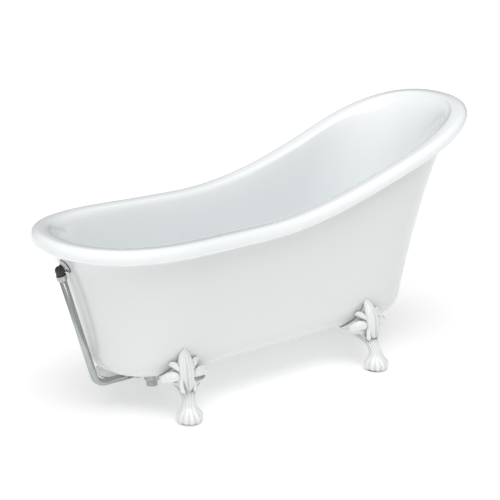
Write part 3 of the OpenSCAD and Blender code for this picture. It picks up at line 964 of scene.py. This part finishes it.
    def build(self, bm: bmesh.types.BMesh) -> None:
        """Adds the foot, its carving and the ledge that is bolted under the bath."""
        wall = self.wall_y()
        low, high = self.leg[0][0], self.leg[-1][0]
        rings = []
        for i in range(self.leg_rings):
            rings.append(self.leg_ring(low + (high - low) * i / (self.leg_rings - 1), wall))
        rings += [self.knee_ring(i / (self.knee_rings - 1)) for i in range(self.knee_rings)]
        loft(bm, rings)
        self.add_leaf(bm, wall)
        for side in (-1, 1):
            self.add_tube(bm, wall, self.lobe, side, 0.03)
            self.add_tube(bm, wall, self.roll, side, 0.06)
            self.add_tube(bm, wall, self.frond, side, 0.08)
        self.add_ledge(bm, wall)
        turned = Matrix.Translation((self.x, -self.y, 0)) @ Matrix.Rotation(-self.turn, 4, "Z")
        bmesh.ops.transform(bm, matrix=turned, verts=bm.verts)
        if self.left:
            bmesh.ops.scale(bm, vec=(1, -1, 1), verts=bm.verts)

    def add_ledge(self, bm: bmesh.types.BMesh, wall: float) -> None:
        """Adds the bolted ledge under the bath.

        Args:
            bm: the foot's mesh.
            wall: how far in the bath's base lies.
        """
        top, thick, half, reach = self.form.bottom_z - 0.0003, 0.0122, 0.0275, 0.1675
        made = bmesh.ops.create_cube(bm, size=1.0)["verts"]
        deep = reach - wall + 0.018
        bmesh.ops.scale(bm, vec=(2 * half, deep, thick), verts=made)
        bmesh.ops.translate(bm, vec=(0, reach - deep / 2, top - thick / 2), verts=made)
        edges = list({e for v in made for e in v.link_edges})
        bmesh.ops.bevel(
            bm, geom=edges, offset=0.0025, affect="EDGES", segments=3, profile=0.5, material=-1
        )

    def make(self) -> None:
        """Makes the foot."""
        make_piece(self.node + "_visual", self.build, Slot.FEET, [self.node])


@dataclass(frozen=True)
class Feet:
    """The four feet, which are two pairs of mirrored castings."""

    front: tuple[float, float, float, float] = (-0.478, 0.246, 22.0, 246.0)
    rear: tuple[float, float, float, float] = (0.302, 0.272, 2.0, 292.0)
    sway: dict[str, float] = field(default_factory=lambda: {"front": -0.009, "rear": -0.002})

    def make(self) -> None:
        """Makes all four."""
        for name, place in (("front", self.front), ("rear", self.rear)):
            x, y, turn, middle = place
            for side in ("left", "right"):
                ClawFoot(
                    f"foot_{name}_{side}",
                    x,
                    y,
                    math.radians(turn),
                    side == "left",
                    math.radians(middle),
                    self.sway[name],
                ).make()


# ---------------------------------------------------------------- overflow pipe


@dataclass(frozen=True)
class OverflowPipe:
    """The bent tube between the overflow and the waste."""

    radius: float = 0.012
    bore: float = 0.0106
    bend_r: float = 0.046
    lean: float = math.radians(16.1)
    run_z: float = 0.098
    sides: int = 64
    bend_steps: int = 36

    def ring(self, at: Vector, fall: float, r: float) -> Ring:
        """Ring round the tube, whose line falls at an angle."""
        found = []
        for i in range(self.sides):
            a = i * math.tau / self.sides
            out = r * math.cos(a)
            found.append(Vector((at.x - out * math.sin(fall), r * math.sin(a), at.z - out * math.cos(fall))))
        return found

    def rings(self, r: float, top: Vector, bend_x: float, end_x: float) -> list[Ring]:
        """All rings of one face of the tube.

        Args:
            r: the face's radius.
            top: the tube's upper end.
            bend_x: where the bend meets the level run.
            end_x: the tube's lower end.

        Returns:
            The rings from the top down.
        """
        fall = math.pi / 2 - self.lean
        middle = Vector((bend_x, 0, self.run_z + self.bend_r))
        found = [self.ring(top, fall, r)]
        for j in range(self.bend_steps + 1):
            a = fall * (1 - j / self.bend_steps)
            found.append(self.ring(middle - self.bend_r * Vector((math.sin(a), 0, math.cos(a))), a, r))
        found.append(self.ring(Vector((end_x, 0, self.run_z)), 0.0, r))
        return found

    def build(self, bm: bmesh.types.BMesh) -> None:
        """Adds the tube."""
        low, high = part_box("overflow_pipe")
        fall = math.pi / 2 - self.lean
        top_z = high.z - self.radius * math.cos(fall)
        top_x = low.x + self.radius * math.sin(fall)
        cut = self.bend_r * math.tan(fall / 2)
        bend_x = top_x + (top_z - self.run_z) * math.tan(self.lean) + cut
        top = Vector((top_x, 0, top_z))
        outer = self.rings(self.radius, top, bend_x, high.x)
        inner = self.rings(self.bore, top, bend_x, high.x)
        loft(bm, outer + inner[::-1], closed=True)

    def make(self) -> None:
        """Makes the pipe."""
        make_piece("overflow_pipe_visual", self.build, Slot.CHROME, ["overflow_pipe"])


# ---------------------------------------------------------------- CAD nodes that stay


def dress_cad_nodes(frame: dict) -> None:
    """Gives every CAD node that is still shown its procedural finish.
    """
    slots = {row["node"]: row["material_slot"] for row in frame["record"]["subparts"]}
    made: dict[Slot, bpy.types.Material] = {}
    for name, node in frame["nodes"].items():
        if node.hide_render:
            continue
        slot = Slot(slots[name])
        if slot not in made:
            made[slot] = FINISHES[slot].material()
        node.data.materials.clear()
        node.data.materials.append(made[slot])
        log.info("dressed %s", name)


# ---------------------------------------------------------------- studio


@dataclass(frozen=True)
class Studio:
    """Pale floor, soft light and the camera."""

    azimuth: float = math.radians(-37.425)
    elevation: float = math.radians(18.3)
    roll: float = math.radians(0.15)
    distance: float = 5.243
    focal: float = 1512.15 * 36.0 / 500.0
    target: Vector = field(default_factory=lambda: Vector((0, 0, 0.40)))
    shift: tuple[float, float] = (-10.915 / 500.0, 7.579 / 500.0)
    front: tuple[float, float, float] = (-0.84, -0.54, 0.0)
    sky: float = 0.37
    sky_tilt: float = 0.40
    sun_from: tuple[float, float, float] = (-0.11, -0.27, 0.96)
    sun_power: float = 2.38
    sun_spread: float = 56.0
    floor_glow: float = 0.44

    def camera(self) -> None:
        """Adds the camera."""
        a, e = self.azimuth, self.elevation
        back = Vector((math.sin(a) * math.cos(e), -math.cos(a) * math.cos(e), math.sin(e)))
        data = bpy.data.cameras.new("camera")
        data.lens = self.focal
        data.sensor_width = 36.0
        data.shift_x, data.shift_y = self.shift
        cam = bpy.data.objects.new("camera", data)
        bpy.context.scene.collection.objects.link(cam)
        cam.location = self.target + back * self.distance
        turned = (-back).to_track_quat("-Z", "Y").to_matrix().to_4x4()
        cam.rotation_euler = (turned @ Matrix.Rotation(self.roll, 4, "Z")).to_euler()
        bpy.context.scene.camera = cam

    def sun(self, come_from: Sequence[float], strength: float, spread: float) -> None:
        """Adds the soft overhead light.

        Args:
            come_from: direction that the light comes from.
            strength: its strength.
            spread: its angle across, in degrees.
        """
        data = bpy.data.lights.new("softbox", "SUN")
        data.energy, data.angle = strength, math.radians(spread)
        lamp = bpy.data.objects.new("softbox", data)
        lamp.rotation_euler = (-Vector(come_from)).to_track_quat("-Z", "Y").to_euler()
        bpy.context.scene.collection.objects.link(lamp)

    def floor(self) -> None:
        """Adds the floor."""
        bm = bmesh.new()
        bmesh.ops.create_grid(bm, x_segments=1, y_segments=1, size=60.0)
        mesh = bpy.data.meshes.new("floor")
        bm.to_mesh(mesh)
        bm.free()
        g = Graph("pale_floor")
        pale, white = (0.62, 0.62, 0.62, 1.0), (1.0, 1.0, 1.0, 1.0)
        finish = g.finish(
            Base_Color=pale, Roughness=0.9, Emission_Color=white, Emission_Strength=self.floor_glow
        )
        mesh.materials.append(finish)
        floor = bpy.data.objects.new("floor", mesh)
        bpy.context.scene.collection.objects.link(floor)

    def world(self) -> None:
        """Sets the light from all round, brighter from the front than from behind."""
        world = bpy.data.worlds.new("studio")
        world.use_nodes = True
        tree = world.node_tree
        shade = tree.nodes["Background"]
        shade.inputs["Color"].default_value = (1.0, 1.0, 1.0, 1.0)
        facing = tree.nodes.new("ShaderNodeVectorMath")
        facing.operation = "DOT_PRODUCT"
        facing.inputs[1].default_value = self.front
        scaled = tree.nodes.new("ShaderNodeMath")
        scaled.operation = "MULTIPLY_ADD"
        scaled.inputs[1].default_value = self.sky_tilt
        scaled.inputs[2].default_value = self.sky
        tree.links.new(tree.nodes.new("ShaderNodeTexCoord").outputs["Generated"], facing.inputs[0])
        tree.links.new(facing.outputs["Value"], scaled.inputs[0])
        tree.links.new(scaled.outputs[0], shade.inputs["Strength"])
        bpy.context.scene.world = world

    def make(self) -> None:
        """Makes the whole studio."""
        self.camera()
        self.floor()
        self.world()
        self.sun(self.sun_from, self.sun_power, self.sun_spread)
        bpy.context.scene.view_settings.view_transform = "Standard"


def main() -> None:
    """Builds everything in order."""
    logging.basicConfig(level=logging.INFO)
    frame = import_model()
    Studio().make()
    Skins().make()
    Feet().make()
    OverflowPipe().make()
    dress_cad_nodes(frame)


if __name__ == "__main__":
    main()
